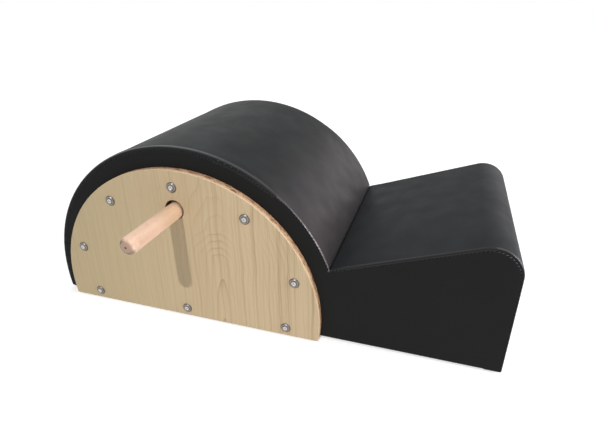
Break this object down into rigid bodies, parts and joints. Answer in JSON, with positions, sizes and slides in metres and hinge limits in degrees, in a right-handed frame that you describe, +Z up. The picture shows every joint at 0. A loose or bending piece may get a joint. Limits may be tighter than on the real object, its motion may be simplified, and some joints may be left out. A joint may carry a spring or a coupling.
{
  "type": "pilates spine corrector",
  "caption": "Pilates spine corrector: padded half-round barrel with a sloping step, screwed plywood side panels and a pull-out dowel handle on each side.",
  "frame": {"origin": "on the floor, midway along the length and midway between the handle tips", "axes": "+Z up; +X along the length from the barrel to the step; -Y is the right hand of a person who sits on the step and leans back over the barrel"},
  "size_m": [0.8256, 0.6776, 0.3215],
  "materials": {
    "black_cover": "satin",
    "dust_cloth": "matte",
    "foam": "matte",
    "frame_plywood": "matte",
    "frame_timber": "matte",
    "pale_veneer": "satin",
    "beech": "satin",
    "nickel": "satin",
    "black_rubber": "matte"
  },
  "bodies": {
    "body": {"right_side_board": "frame_plywood", "left_side_board": "frame_plywood", "centre_rib": "frame_plywood", "barrel_skin": "frame_plywood", "step_top_board": "frame_plywood", "step_end_board": "frame_plywood", "base_board": "frame_plywood", "barrel_foot_rail": "frame_timber", "valley_rail": "frame_timber", "step_end_rail": "frame_timber", "barrel_foam": "foam", "step_foam": "foam", "barrel_cover": "black_cover", "step_cover": "black_cover", "right_side_cover": "black_cover", "left_side_cover": "black_cover", "dust_cover": "dust_cloth", "right_barrel_pad": "black_rubber", "left_barrel_pad": "black_rubber", "right_step_pad": "black_rubber", "left_step_pad": "black_rubber", "right_side_panel": "pale_veneer", "right_socket_block": "frame_timber", "right_cup_washer_1": "nickel", "right_panel_screw_1": "nickel", "right_cup_washer_2": "nickel", "right_panel_screw_2": "nickel", "right_cup_washer_3": "nickel", "right_panel_screw_3": "nickel", "right_cup_washer_4": "nickel", "right_panel_screw_4": "nickel", "right_cup_washer_5": "nickel", "right_panel_screw_5": "nickel", "right_cup_washer_6": "nickel", "right_panel_screw_6": "nickel", "right_cup_washer_7": "nickel", "right_panel_screw_7": "nickel", "right_cup_washer_8": "nickel", "right_panel_screw_8": "nickel", "left_side_panel": "pale_veneer", "left_socket_block": "frame_timber", "left_cup_washer_1": "nickel", "left_panel_screw_1": "nickel", "left_cup_washer_2": "nickel", "left_panel_screw_2": "nickel", "left_cup_washer_3": "nickel", "left_panel_screw_3": "nickel", "left_cup_washer_4": "nickel", "left_panel_screw_4": "nickel", "left_cup_washer_5": "nickel", "left_panel_screw_5": "nickel", "left_cup_washer_6": "nickel", "left_panel_screw_6": "nickel", "left_cup_washer_7": "nickel", "left_panel_screw_7": "nickel", "left_cup_washer_8": "nickel", "left_panel_screw_8": "nickel"},
    "right_handle": {"right_handle": "beech"},
    "left_handle": {"left_handle": "beech"}
  },
  "joints": [
    {"name": "right_handle_slide", "type": "slide", "parent": "body", "child": "right_handle", "axis": [0, -1, 0], "range_m": [0, 0.112]},
    {"name": "left_handle_slide", "type": "slide", "parent": "body", "child": "left_handle", "axis": [0, 1, 0], "range_m": [0, 0.112]}
  ]
}
